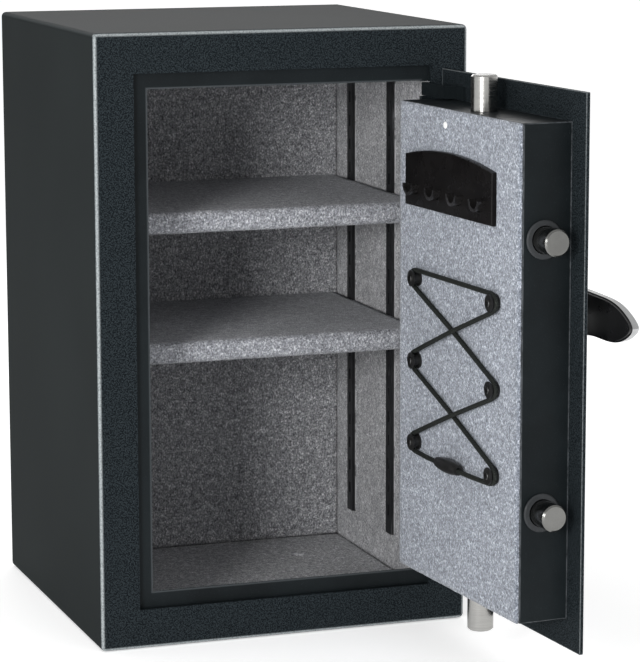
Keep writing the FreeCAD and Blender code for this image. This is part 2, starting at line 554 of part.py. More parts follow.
def key_rack():
    """Arched key rack on the door panel: a plate, its folded sides and four half-round hooks."""
    left = value("rack_left") - value("case_width") / 2
    right = value("rack_right") - value("case_width") / 2
    foot = value("rack_foot")
    shoulder = value("rack_shoulder")
    middle = (left + right) / 2
    panel_back = (value("door_setback") + value("plate_thick") + value("pan_depth")
                  + value("panel_thick") - value("case_depth") / 2)
    corners = [Vector(left, 0, shoulder), Vector(left, 0, foot), Vector(right, 0, foot),
               Vector(right, 0, shoulder)]
    edges = [Part.LineSegment(a, b).toShape() for a, b in zip(corners, corners[1:])]
    crown = Vector(middle, 0, shoulder + value("rack_rise"))
    edges.append(Part.Arc(corners[3], crown, corners[0]).toShape())
    solid = Part.Face(Part.Wire(edges)).extrude(Vector(0, value("rack_deep"), 0))
    solid = solid.makeFillet(1.2, [edge for edge in solid.Edges
                                   if edge.CenterOfMass.y > value("rack_deep") - 0.01])
    sheet_thick = value("rack_sheet")
    hollow = Part.makeBox(right - left - 2 * sheet_thick, value("rack_deep") - sheet_thick,
                          shoulder - foot - 2 * sheet_thick,
                          Vector(left + sheet_thick, 0, foot + sheet_thick))
    feature = doc.addObject("Part::Feature", "rack_body")
    feature.Shape = solid.cut(hollow)
    feature.Placement = Placement(Vector(0, panel_back, 0), Rotation())
    sub_part("key_rack", feature, on_door=True)
    hooks = []
    for number in range(4):
        x = f"({middle} + {number - 1.5} * hook_pitch)"
        face = f"({PANEL_BACK} + rack_deep)"
        trough = rod("y", x, face, "hook_up", "hook_radius", "hook_out")
        inside = rod("y", x, f"{face} - 1", "hook_up", "hook_radius - hook_wall", "hook_out + 1 - hook_wall")
        throat = rod("y", x, f"{face} - 1", "hook_up", "hook_radius - hook_lip", "hook_out + 2")
        upper_half = box(f"{x} - hook_radius - 1", f"{x} + hook_radius + 1", f"{face} - 1",
                         f"{face} + hook_out + 1", "hook_up", "hook_up + hook_radius + 1")
        hooks.append(cut(trough, inside, throat, upper_half))
    sub_part("key_hooks", *hooks, on_door=True)
    screw = rod("y", "screw_across", PANEL_BACK, "screw_up", "screw_radius", "screw_proud")
    sub_part("panel_screw", chamfered(screw, 0.45 * value("screw_proud"), circular), on_door=True)


def peg_places():
    """Centres of the six pegs: three at the hinge side and three at the free side, top to bottom."""
    half = value("case_width") / 2
    columns = (value("peg_hinge") - half, value("peg_free") - half)
    rows = [value("peg_top") - value("peg_pitch") * row for row in range(3)]
    return [[(x, z) for z in rows] for x in columns]


def lash_pegs():
    """Six spools on the door panel, each held by a screw."""
    face = (value("door_setback") + value("plate_thick") + value("pan_depth") + value("panel_thick")
            - value("case_depth") / 2)
    flange = value("peg_flange")
    groove = 2 * value("cord_radius") + value("groove_play")
    tall = 2 * flange + groove
    pegs = []
    screws = []
    for column in peg_places():
        for x, z in column:
            spool = fuse(rod("y", x, face, z, "peg_radius", flange),
                         rod("y", x, face + flange, z, "peg_groove", groove),
                         rod("y", x, face + flange + groove, z, "peg_radius", flange))
            pegs.append(cut(spool, rod("y", x, face - 1, z, "peg_screw_radius", tall + 2)))
            head = rod("y", x, face + tall, z, "peg_head_radius", "peg_head_proud")
            head = chamfered(head, 0.6, lambda edge: circular(edge) and edge.CenterOfMass.y > face + tall + 1)
            slot = box(x - 3, x + 3, face + tall + 0.9, face + tall + 3, z - 0.4, z + 0.4)
            screws.append(fuse(rod("y", x, face, z, "peg_screw_radius", tall), cut(head, slot)))
    sub_part("lash_pegs", *pegs, on_door=True)
    sub_part("peg_screws", *screws, on_door=True)
    return face + flange + groove / 2


def lash_cord(level):
    """Elastic cord laced round the pegs in one loop, in six spans that meet halfway round the pegs.

    Two pairs of runs cross: one of each pair bows out from the door and the other bows in. The lowest
    run is lifted clear of the panel by the lock on it.
    """
    hinge, free = peg_places()
    order = [hinge[0], free[0], hinge[1], free[2], hinge[2], free[1]]
    over = [(0.5, value("cord_over"))]
    under = [(0.5, -value("cord_under"))]
    past_lock = [(0.25, value("lock_lift")), (0.75, value("lock_lift"))]
    bows = [[], over, under, past_lock, over, under]
    wrap = value("peg_groove") + value("cord_radius") + 0.1
    runs = [peg_run(order, number, level, wrap) for number in range(6)]
    corners = [wrap_corners(runs[number - 1], runs[number], wrap) for number in range(6)]
    spans = []
    for number in range(6):
        here = corners[number]
        there = corners[(number + 1) % 6]
        points = [(here[0] + here[1]) * 0.5, here[1]]
        radii = [wrap - 0.1]
        for share, rise in bows[number]:
            points.append(here[1] + (there[0] - here[1]) * share + Vector(0, rise, 0))
            radii.append(value("cord_bow_radius"))
        points += [there[0], (there[0] + there[1]) * 0.5]
        radii.append(wrap - 0.1)
        spans.append(tube(points, radii, value("cord_radius")))
    feature = doc.addObject("Part::Feature", "cord_body")
    feature.Shape = Part.Compound(spans)
    sub_part("lash_cord", feature, on_door=True)
    lift = Vector(0, value("lock_lift"), 0)
    return runs[3][0] + lift, runs[3][1] + lift


def wrap_corners(before, after, wrap):
    """The two corners of the route round a peg, whose arcs hug the spool."""
    turn = (before[1] - before[0]).getAngle(after[1] - after[0])
    setback = wrap * math.tan(turn / 4)
    return (before[1] + (before[1] - before[0]).normalize() * setback,
            after[0] - (after[1] - after[0]).normalize() * setback)


def peg_run(order, number, level, wrap):
    """The straight run from one peg to the next, tangent to both on their outer sides."""
    start = order[number]
    end = order[(number + 1) % 6]
    direction = Vector(end[0] - start[0], 0, end[1] - start[1]).normalize()
    right = Vector(direction.z, 0, -direction.x)
    return (Vector(start[0], level, start[1]) + right * wrap * turn_side(order, number),
            Vector(end[0], level, end[1]) + right * wrap * turn_side(order, number + 1))


def turn_side(order, number):
    """+1 where the cord turns left at a peg, which puts the cord on the peg's right, and -1 otherwise."""
    before, here, after = (order[(number + step) % 6] for step in (-1, 0, 1))
    turn = (here[0] - before[0]) * (after[1] - here[1]) - (here[1] - before[1]) * (after[0] - here[0])
    return 1 if turn > 0 else -1


def tube(points, bend_radii, radius):
    """A tube along straight runs joined by tangent arcs."""
    edges = []
    start = points[0]
    for before, corner, after, bend_radius in zip(points, points[1:], points[2:], bend_radii):
        back = (before - corner).normalize()
        ahead = (after - corner).normalize()
        half_turn = (math.pi - back.getAngle(ahead)) / 2
        trim = bend_radius * math.tan(half_turn)
        middle_way = (back + ahead).normalize()
        middle = corner + middle_way * (bend_radius / math.cos(half_turn) - bend_radius)
        arc_start = corner + back * trim
        arc_end = corner + ahead * trim
        edges.append(Part.LineSegment(start, arc_start).toShape())
        edges.append(Part.Arc(arc_start, middle, arc_end).toShape())
        start = arc_end
    edges.append(Part.LineSegment(start, points[-1]).toShape())
    path = Part.Wire(edges)
    section = Part.Wire([Part.Circle(points[0], points[1] - points[0], radius).toShape()])
    print("cord span", round(path.Length, 1), "mm long")
    return path.makePipe(Part.Face(section))


def cord_lock(run):
    """Barrel lock on the lowest run, and the button in its end."""
    start, end = run
    direction = (end - start).normalize()
    middle = start + (end - start) * 0.5
    half = value("lock_long") / 2
    radius = value("lock_radius")
    profile = Part.BSplineCurve()
    profile.interpolate([Vector(5.0, 0, -half), Vector(radius, 0, 0), Vector(5.0, 0, half)])
    edges = [profile.toShape(), Part.LineSegment(Vector(5.0, 0, half), Vector(0, 0, half)).toShape(),
             Part.LineSegment(Vector(0, 0, half), Vector(0, 0, -half)).toShape(),
             Part.LineSegment(Vector(0, 0, -half), Vector(5.0, 0, -half)).toShape()]
    barrel = Part.Face(Part.Wire(edges)).revolve(Vector(), Vector(0, 0, 1), 360)
    bore = Part.makeCylinder(value("cord_radius") + 0.08, 2 * half + 2, Vector(0, 0, -half - 1))
    feature = doc.addObject("Part::Feature", "lock_body")
    feature.Shape = barrel.cut(bore)
    feature.Placement = Placement(middle, Rotation(DIRECTIONS["z"], direction))
    sub_part("cord_lock", feature, on_door=True)


def build():
    case_shell()
    door_jamb()
    liners()
    shelf_standards()
    shelves()
    hinge_brackets()
    hinge_arms()
    door_plate()
    door_pan()
    bolts()
    bolt_carriage()
    end_rods()
    drive_parts()
    lever()
    keypad()
    lock_parts()
    key_rack()
    cord_lock(lash_cord(lash_pegs()))
    doc.recompute()


def check_and_write():
    """Stops if any object failed, then writes one file per sub-part."""
    for feature in doc.Objects:
        if "Invalid" in feature.State or "Error" in feature.State:
            raise RuntimeError(f"{feature.Label} failed: {feature.State}")
    os.makedirs("parts", exist_ok=True)
    for feature in pieces:
        shape = feature.Shape
        if shape.isNull() or not shape.isValid() or not shape.Solids:
            raise RuntimeError(f"{feature.Label} has no valid solid")
        shape.exportStep(f"parts/{feature.Label}.step")
        print(feature.Label, len(shape.Solids), round(shape.Volume))


build()
check_and_write()
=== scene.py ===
import json
import math

import bpy
import numpy as np
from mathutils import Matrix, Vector, noise


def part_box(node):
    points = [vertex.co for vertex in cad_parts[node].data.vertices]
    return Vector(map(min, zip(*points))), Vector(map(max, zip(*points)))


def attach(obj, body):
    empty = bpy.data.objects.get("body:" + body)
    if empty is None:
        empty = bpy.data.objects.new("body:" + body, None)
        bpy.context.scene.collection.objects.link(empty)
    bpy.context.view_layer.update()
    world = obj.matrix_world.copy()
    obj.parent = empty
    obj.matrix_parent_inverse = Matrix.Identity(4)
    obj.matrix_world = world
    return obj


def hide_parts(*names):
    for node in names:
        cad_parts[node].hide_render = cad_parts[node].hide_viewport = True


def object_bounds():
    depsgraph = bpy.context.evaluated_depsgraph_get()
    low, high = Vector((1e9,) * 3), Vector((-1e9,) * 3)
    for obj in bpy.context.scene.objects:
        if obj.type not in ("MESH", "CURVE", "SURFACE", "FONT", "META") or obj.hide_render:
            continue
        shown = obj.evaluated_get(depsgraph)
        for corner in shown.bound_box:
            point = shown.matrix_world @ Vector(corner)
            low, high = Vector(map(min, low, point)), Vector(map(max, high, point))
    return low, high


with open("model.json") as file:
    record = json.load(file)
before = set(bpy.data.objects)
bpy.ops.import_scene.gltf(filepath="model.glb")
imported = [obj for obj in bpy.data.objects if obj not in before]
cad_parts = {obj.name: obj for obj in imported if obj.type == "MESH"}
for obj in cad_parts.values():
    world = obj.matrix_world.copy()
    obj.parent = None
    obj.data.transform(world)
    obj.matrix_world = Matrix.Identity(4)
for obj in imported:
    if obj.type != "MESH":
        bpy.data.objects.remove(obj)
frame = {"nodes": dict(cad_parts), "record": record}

CAD_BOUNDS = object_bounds()
RECORD = frame["record"]
JOINTS = {joint["name"]: joint for joint in RECORD["behaviour"]["joints"]}

# The door's frame at rest: every door piece is drawn shut in CAD and then turned about this hinge.
HINGE = Vector(JOINTS["door_swing"]["pos_m"])
HANDLE_AXIS = JOINTS["handle_turn"]["axis"]
DOOR_ANGLE = math.atan2(HANDLE_AXIS[0], -HANDLE_AXIS[1])


def camera():
    """Camera at the height and distance that show the case's left side and top as well as its front."""
    data = bpy.data.cameras.new("camera")
    data.lens = 160.73
    data.sensor_width = 36.0
    data.clip_end = 50.0
    made = bpy.data.objects.new("camera", data)
    bpy.context.scene.collection.objects.link(made)
    made.location = (-0.9152, -2.8789, 0.7867)
    made.rotation_euler = (math.radians(80.407), math.radians(0.115), math.radians(-19.463))
    bpy.context.scene.camera = made


camera()


# Meshes

PILE_STEP = 0.005
PILE_DEPTH = 0.0004
PILE_EASE = 0.0002
SLEEVE_NOSE = 0.007
SLEEVE_PILE = 1.3 * PILE_DEPTH
SLEEVE_SLACK = 0.0001
BOARD_ROUND = 0.004
HOLE_SIDES = 40
HOLE_REACH = (-0.01, 0.03)


def new_piece(name, vertices, faces, body, material, smooth=True):
    """A mesh piece that rides on a body and takes its finish from a slot."""
    mesh = bpy.data.meshes.new(name)
    mesh.from_pydata([tuple(v) for v in vertices], [], faces)
    mesh.validate()
    mesh.materials.append(material)
    mesh.polygons.foreach_set("use_smooth", [smooth] * len(mesh.polygons))
    piece = bpy.data.objects.new(name, mesh)
    bpy.context.scene.collection.objects.link(piece)
    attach(piece, body)
    return piece


def turned(points, angle):
    """Points turned about the door's hinge axis."""
    cosine = math.cos(angle)
    sine = math.sin(angle)
    x = points[:, 0] - HINGE.x
    y = points[:, 1] - HINGE.y
    return np.column_stack([HINGE.x + cosine * x - sine * y, HINGE.y + sine * x + cosine * y, points[:, 2]])


def shut_box(node):
    """Lowest and highest corners of a door node with the door shut."""
    points = np.array([v.co for v in frame["nodes"][node].data.vertices], float)
    points = turned(points, -DOOR_ANGLE)
    return points.min(0), points.max(0)


def grid_box(low, high, step):
    """Points and faces of a closed box whose six sides are grids that share their border points."""
    size = high - low
    counts = np.maximum(1, np.round(size / step)).astype(int)
    points = []
    index = {}
    faces = []

    def point(place):
        if place not in index:
            index[place] = len(points)
            points.append(low + size * np.array(place) / counts)
        return index[place]

    for axis in range(3):
        first, second = (axis + 1) % 3, (axis + 2) % 3
        for level in (0, counts[axis]):
            for i in range(counts[first]):
                for j in range(counts[second]):
                    corners = []
                    for a, b in ((i, j), (i + 1, j), (i + 1, j + 1), (i, j + 1)):
                        place = [0, 0, 0]
                        place[axis], place[first], place[second] = int(level), a, b
                        corners.append(point(tuple(place)))
                    faces.append(corners if level else corners[::-1])
    return np.array(points), faces


def softened(points, low, high, radius, depth):
    """The box's points with its edges rounded and its faces uneven like short pile."""
    inner_low = low + radius
    inner_high = high - radius
    inside = np.clip(points, inner_low, inner_high)
    out = points - inside
    length = np.linalg.norm(out, axis=1, keepdims=True)
    out = out / np.maximum(length, 1e-9)
    height = np.array([pile_height(p) for p in points])
    return inside + out * (radius + depth * height[:, None])


def pile_height(point):
    """Unevenness of the carpet at a point, from about -1 to 1."""
    broad = noise.noise(Vector(point) * 45.0)
    fine = noise.noise(Vector(point) * 190.0 + Vector((3.0, 7.0, 1.0)))
    return 0.45 * broad + 0.75 * fine


def carpet_slab(name, node, body, material):
    """Carpet over one of the case's boards."""
    low, high = (np.array(corner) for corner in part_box(node))
    points, faces = grid_box(low, high, PILE_STEP)
    radius = min(high - low) / 2 - PILE_EASE
    piece = new_piece(name, softened(points, low, high, radius, PILE_DEPTH), faces, body, material)
    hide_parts(node)
    return piece


def cut_holes(piece, places, radius):
    """Round holes down through a floor piece."""
    vertices = []
    faces = []
    for x, y in places:
        start = len(vertices)
        for z in HOLE_REACH:
            for number in range(HOLE_SIDES):
                angle = 2 * math.pi * number / HOLE_SIDES
                vertices.append((x + radius * math.cos(angle), y + radius * math.sin(angle), z))
        upper = start + HOLE_SIDES
        for number in range(HOLE_SIDES):
            after = (number + 1) % HOLE_SIDES
            faces.append((start + number, start + after, upper + after, upper + number))
        faces.append([start + number for number in range(HOLE_SIDES)][::-1])
        faces.append([upper + number for number in range(HOLE_SIDES)])
    mesh = bpy.data.meshes.new("hole_cutter")
    mesh.from_pydata(vertices, [], faces)
    cutter = bpy.data.objects.new("hole_cutter", mesh)
    bpy.context.scene.collection.objects.link(cutter)
    modifier = piece.modifiers.new("holes", "BOOLEAN")
    modifier.operation = "DIFFERENCE"
    modifier.solver = "EXACT"
    modifier.object = cutter
    graph = bpy.context.evaluated_depsgraph_get()
    holed = bpy.data.meshes.new_from_object(piece.evaluated_get(graph))
    piece.modifiers.clear()
    piece.data = holed
    bpy.data.objects.remove(cutter)


def shelf_sleeve(name, node, material):
    """Carpet sleeve round a shelf board: a rounded section, hollow for the board."""
    low, high = (np.array(corner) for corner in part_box(node))
    board_low, board_high = (np.array(c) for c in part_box(node.replace("cover", "board")))
    section = rounded_section(low[1:], high[1:], SLEEVE_NOSE, PILE_STEP)
    columns = int(round((high[0] - low[0]) / PILE_STEP))
    outer = []
    for column in range(columns + 1):
        x = low[0] + (high[0] - low[0]) * column / columns
        for (y, z), (normal_y, normal_z) in section:
            height = SLEEVE_PILE * pile_height((x, y, z))
            outer.append((x, y + normal_y * height, z + normal_z * height))
    centre_low = board_low[1:] + BOARD_ROUND
    centre_high = board_high[1:] - BOARD_ROUND
    inner = []
    for x in (low[0], high[0]):
        for place, _ in section:
            core = np.clip(place, centre_low, centre_high)
            away = np.array(place) - core
            spot = core + away / np.linalg.norm(away) * (BOARD_ROUND + SLEEVE_SLACK)
            inner.append((x, *spot))
    count = len(section)
    faces = []
    for column in range(columns):
        for number in range(count):
            after = (number + 1) % count
            here = column * count
            faces.append((here + number, here + count + number, here + count + after, here + after))
    first_inner = len(outer)
    last_ring = columns * count
    for number in range(count):
        after = (number + 1) % count
        faces.append((first_inner + number, first_inner + after, first_inner + count + after,
                      first_inner + count + number))
        faces.append((number, after, first_inner + after, first_inner + number))
        faces.append((last_ring + after, last_ring + number, first_inner + count + number,
                      first_inner + count + after))
    piece = new_piece(name, outer + inner, faces, "case", material)
    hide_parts(node)


def rounded_section(low, high, radius, step):
    """Points and outward normals round a rectangle with rounded corners, in the YZ plane."""
    section = []
    corners = ((high[0], high[1], 0), (low[0], high[1], 90), (low[0], low[1], 180), (high[0], low[1], 270))
    middle_y, middle_z = (low[0] + high[0]) / 2, (low[1] + high[1]) / 2
    arc_steps = 6
    for number, (y, z, start) in enumerate(corners):
        centre_y = y - math.copysign(radius, y - middle_y)
        centre_z = z - math.copysign(radius, z - middle_z)
        for arc_step in range(arc_steps + 1):
            angle = math.radians(start + 90 * arc_step / arc_steps)
            normal = (math.cos(angle), math.sin(angle))
            section.append(((centre_y + radius * normal[0], centre_z + radius * normal[1]), normal))
        next_y, next_z, next_start = corners[(number + 1) % 4]
        run_end_y = next_y - math.copysign(radius, next_y - middle_y)
        run_end_z = next_z - math.copysign(radius, next_z - middle_z)
        next_normal = (math.cos(math.radians(next_start)), math.sin(math.radians(next_start)))
        end = (run_end_y + radius * next_normal[0], run_end_z + radius * next_normal[1])
        begin = section[-1][0]
        length = math.dist(begin, end)
        pieces = max(1, int(round(length / step)))
        for part in range(1, pieces):
            share = part / pieces
            section.append(((begin[0] + (end[0] - begin[0]) * share, begin[1] + (end[1] - begin[1]) * share),
                            next_normal))
    return section


def door_carpet(name, node, material):
    """Carpet panel over the door's pan."""
    low, high = shut_box(node)
    points, faces = grid_box(low, high, PILE_STEP)
    radius = min(high - low) / 2 - PILE_EASE
    points = turned(softened(points, low, high, radius, PILE_DEPTH), DOOR_ANGLE)
    piece = new_piece(name, points, faces, "door", material)
    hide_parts(node)


# Lash cord

CORD_DIAMETER = 0.0045
# Radius of the cord's line round a spool, which keeps it just off the spool's groove.
CORD_WRAP = 0.0083
PEG_RADIUS = 0.008
# How far the cord stands off its level: over and under at the crossings, and at the lock.
CORD_OVER = 0.0034
CORD_UNDER = -0.0013
LOCK_LIFT = 0.0036
LOCK_SHARE = 0.25
# Each end of the cord is this far from the lock's middle.
LOCK_GAP = 0.007
CROSSING_SHARE = 0.06
STRAIGHT = 6 * CORD_DIAMETER


def peg_route():
    """Peg centres at the cord's level, in the order that the cord goes round them from its lock."""
    low, high = shut_box("lash_pegs")
    level = (low[1] + high[1]) / 2
    rows = (high[2] - PEG_RADIUS, (low[2] + high[2]) / 2, low[2] + PEG_RADIUS)
    top, middle, bottom = ([Vector((x, level, z)) for x in (high[0] - PEG_RADIUS, low[0] + PEG_RADIUS)]
                           for z in rows)
    hinge, free = zip(top, middle, bottom)
    return [hinge[2], free[1], hinge[0], free[0], hinge[1], free[2]]


def turn_side(pegs, number):
    """+1 where the cord turns left at a peg and passes it on its right, and -1 otherwise."""
    into = pegs[number] - pegs[number - 1]
    away = pegs[(number + 1) % len(pegs)] - pegs[number]
    return 1 if into.x * away.z - into.z * away.x > 0 else -1


def cord_run(pegs, number):
    """The run that arrives at a peg: its two ends, tangent to the pegs on their outer sides."""
    start, end = pegs[number - 1], pegs[number]
    along = (end - start).normalized()
    right = Vector((along.z, 0.0, -along.x)) * CORD_WRAP
    return start + right * turn_side(pegs, (number - 1) % len(pegs)), end + right * turn_side(pegs, number)


def setback(before, after):
    """How far past the tangent points the two corners of the route round a peg lie."""
    turn = (before[1] - before[0]).angle(after[1] - after[0])
    return CORD_WRAP * math.tan(turn / 4)


def run_points(run, before, after, rise, top_share):
    """A function giving points along one run, lifted by rise between its two top shares."""
    start, end = run
    along = (end - start).normalized()
    start = start - along * setback(before, run)
    end = end + along * setback(run, after)
    length = (end - start).length

    def lifted(place):
        share = min(place, length - place) / length
        return start + along * place + Vector((0.0, rise * min(1.0, share / top_share), 0.0))

    return lifted, length


def cord_points():
    """Control points: two corners round each peg, one 6 diameters off each, and humps at the crossings."""
    pegs = peg_route()
    count = len(pegs)
    runs = [cord_run(pegs, number) for number in range(count)]
    crossing_top = 0.5 - CROSSING_SHARE
    lifts = [(LOCK_LIFT, LOCK_SHARE), (CORD_OVER, crossing_top), (CORD_UNDER, crossing_top),
             (0.0, 0.5), (CORD_OVER, crossing_top), (CORD_UNDER, crossing_top)]
    spans = [run_points(runs[number], runs[number - 1], runs[(number + 1) % count], *lifts[number])
             for number in range(count)]
    lifted, length = spans[0]
    points = [lifted(place) for place in (length / 2 + LOCK_GAP, (1 - LOCK_SHARE) * length,
                                          length - STRAIGHT, length)]
    for (rise, top_share), (lifted, length) in zip(lifts[1:], spans[1:]):
        humps = [top_share * length, (1 - top_share) * length] if rise else []
        points += [lifted(place) for place in (0.0, STRAIGHT, *humps, length - STRAIGHT, length)]
    lifted, length = spans[0]
    points += [lifted(place) for place in (0.0, STRAIGHT, LOCK_SHARE * length, length / 2 - LOCK_GAP)]
    return points


def lash_cord(material):
    """Elastic cord laced round the six pegs, with both ends held in the cord lock."""
    points = turned(np.array(cord_points()), DOOR_ANGLE)
    curve = bpy.data.curves.new("lash_elastic", "CURVE")
    curve.dimensions = "3D"
    curve.bevel_depth = CORD_DIAMETER / 2
    curve.bevel_resolution = 5
    curve.resolution_u = 10
    curve.use_fill_caps = True
    spline = curve.splines.new("NURBS")
    spline.points.add(len(points) - 1)
    for control, place in zip(spline.points, points):
        control.co = (*place, 1.0)
    spline.order_u = 3
    spline.use_endpoint_u = True
    curve.materials.append(material)
    piece = bpy.data.objects.new("lash_elastic", curve)
    bpy.context.scene.collection.objects.link(piece)
    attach(piece, "door")
    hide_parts("lash_cord")


# Materials

class Nodes:
    """Short calls for building one material's node tree."""

    def __init__(self, name):
        self.material = bpy.data.materials.new(name)
        self.material.use_nodes = True
        self.tree = self.material.node_tree
        self.shader = self.tree.nodes["Principled BSDF"]
        self.place = self.add("ShaderNodeTexCoord").outputs["Object"]

    def add(self, kind, **settings):
        made = self.tree.nodes.new(kind)
        for key, value in settings.items():
            setattr(made, key, value)
        return made

    def put(self, socket, value):
        if isinstance(value, bpy.types.NodeSocket):
            self.tree.links.new(value, socket)
        else:
            socket.default_value = value

    def shut_place(self):
        """Object coordinates turned back to the shut door's frame."""
        made = self.add("ShaderNodeVectorRotate", rotation_type="Z_AXIS")
        self.put(made.inputs["Vector"], self.place)
        made.inputs["Center"].default_value = HINGE
        made.inputs["Angle"].default_value = -DOOR_ANGLE
        return made.outputs["Vector"]

    def scaled(self, vector, scale):
        made = self.add("ShaderNodeVectorMath", operation="MULTIPLY")
        self.put(made.inputs[0], vector)
        made.inputs[1].default_value = scale
        return made.outputs[0]

    def noise(self, scale, detail=3.0, roughness=0.5, vector=None):
        made = self.add("ShaderNodeTexNoise")
        self.put(made.inputs["Vector"], vector or self.place)
        made.inputs["Scale"].default_value = scale
        made.inputs["Detail"].default_value = detail
        made.inputs["Roughness"].default_value = roughness
        return made.outputs["Fac"]

    def cells(self, scale, feature="F1", vector=None, output="Distance"):
        made = self.add("ShaderNodeTexVoronoi", feature=feature)
        self.put(made.inputs["Vector"], vector or self.place)
        made.inputs["Scale"].default_value = scale
        return made.outputs[output]

    def math(self, operation, first, second=0.0, clamp=False):
        made = self.add("ShaderNodeMath", operation=operation, use_clamp=clamp)
        self.put(made.inputs[0], first)
        self.put(made.inputs[1], second)
        return made.outputs[0]

    def ramp(self, value, low, high, out_low=0.0, out_high=1.0):
        made = self.add("ShaderNodeMapRange", interpolation_type="SMOOTHSTEP")
        self.put(made.inputs["Value"], value)
        for key, number in (("From Min", low), ("From Max", high), ("To Min", out_low), ("To Max", out_high)):
            made.inputs[key].default_value = number
        return made.outputs["Result"]

    def mix(self, share, first, second):
        made = self.add("ShaderNodeMix", data_type="RGBA")
        self.put(made.inputs["Factor"], share)
        for key, colour in (("A", first), ("B", second)):
            socket = [s for s in made.inputs if s.name == key and s.type == "RGBA"][0]
            self.put(socket, colour if isinstance(colour, bpy.types.NodeSocket) else (*colour, 1.0))
        return [s for s in made.outputs if s.type == "RGBA"][0]

    def bump(self, height, strength, distance, normal=None):
        made = self.add("ShaderNodeBump")
        self.put(made.inputs["Height"], height)
        made.inputs["Strength"].default_value = strength
        made.inputs["Distance"].default_value = distance
        if normal:
            self.put(made.inputs["Normal"], normal)
        return made.outputs["Normal"]

    def axes(self, vector=None):
        made = self.add("ShaderNodeSeparateXYZ")
        self.put(made.inputs[0], vector or self.place)
        return made.outputs

    def edge_distance(self, low, high, vector=None):
        """Distance of a surface point from the nearest edge of a box, in metres."""
        gaps = []
        for axis, socket in enumerate(self.axes(vector)):
            middle = (low[axis] + high[axis]) / 2
            half = (high[axis] - low[axis]) / 2
            off = self.math("ABSOLUTE", self.math("SUBTRACT", socket, middle))
            gaps.append(self.math("SUBTRACT", half, off))
        smaller = self.math("MINIMUM", gaps[0], gaps[1])
        larger = self.math("MAXIMUM", gaps[0], gaps[1])
        return self.math("MAXIMUM", smaller, self.math("MINIMUM", larger, gaps[2]))

    def done(self, colour=None, roughness=None, normal=None, metallic=None, **constants):
        """Links what varies and sets what doesn't on the shader's own sockets."""
        if colour is not None:
            self.put(self.shader.inputs["Base Color"], colour)
        if roughness is not None:
            self.put(self.shader.inputs["Roughness"], roughness)
        if normal is not None:
            self.put(self.shader.inputs["Normal"], normal)
        if metallic is not None:
            self.put(self.shader.inputs["Metallic"], metallic)
        for key, value in constants.items():
            self.shader.inputs[key.replace("_", " ")].default_value = value
        return self.material


SATIN_BLACK = (0.006, 0.008, 0.009)


def powder_coat(name, low, high, shut=False, wear=0.004, edge_paleness=1.0):
    """Charcoal powder coat: pebbled on the front with painted light and shade on the pebbles, pale edges that
    are faint wear all round and a painted highlight along the front's rounded edges, smooth satin elsewhere.
    """
    n = Nodes(name)
    place = n.shut_place() if shut else n.place
    on_front = n.ramp(n.math("SUBTRACT", n.axes(place)[1], float(low[1])), 0.0035, 0.006, 1.0, 0.0)
    pebble = n.cells(820.0, "SMOOTH_F1", place)
    grain = n.noise(1200.0, 2.0, 0.6, place)
    cloud = n.noise(5.0, 3.0, 0.5, place)
    base = n.mix(n.ramp(cloud, 0.3, 0.7), (0.0105, 0.0135, 0.014), (0.0125, 0.016, 0.0165))
    # Pebble tops lighter and pits darker: painted light and shade on the front's pebbles.
    shaded_pebbles = n.mix(n.ramp(pebble, 0.2, 0.6), (0.024, 0.031, 0.035), (0.006, 0.008, 0.0095))
    # Pale flecks over the front only: painted glints on the pebbles.
    fleck = n.ramp(n.noise(1500.0, 1.0, 0.5, place), 0.6, 0.75, 0.0, 0.6)
    shaded_pebbles = n.mix(fleck, shaded_pebbles, (0.06, 0.07, 0.078))
    base = n.mix(on_front, base, shaded_pebbles)
    # Pale edges: faint real wear on every edge, and along the front a stronger painted highlight where the
    # rounded edges catch the light.
    near_edge = n.ramp(n.edge_distance(low, high, place), 0.4 * wear, wear, edge_paleness, 0.0)
    rubbed = n.ramp(n.noise(700.0, 4.0, 0.7, place), 0.3, 0.6, 0.35, 1.0)
    pale_edge = n.math("MULTIPLY", n.math("MULTIPLY", near_edge, rubbed), n.ramp(on_front, 0.0, 1.0, 0.12, 1.0))
    base = n.mix(pale_edge, base, (0.36, 0.39, 0.4))
    rough = n.ramp(grain, 0.3, 0.7, 0.5, 0.54)
    height = n.math("ADD", n.math("MULTIPLY", pebble, -1.0), n.math("MULTIPLY", grain, 0.35))
    height = n.math("MULTIPLY", height, n.ramp(on_front, 0.0, 1.0, 0.06, 1.0))
    return n.done(base, rough, n.bump(height, 0.9, 0.0008), Specular_IOR_Level=0.01)


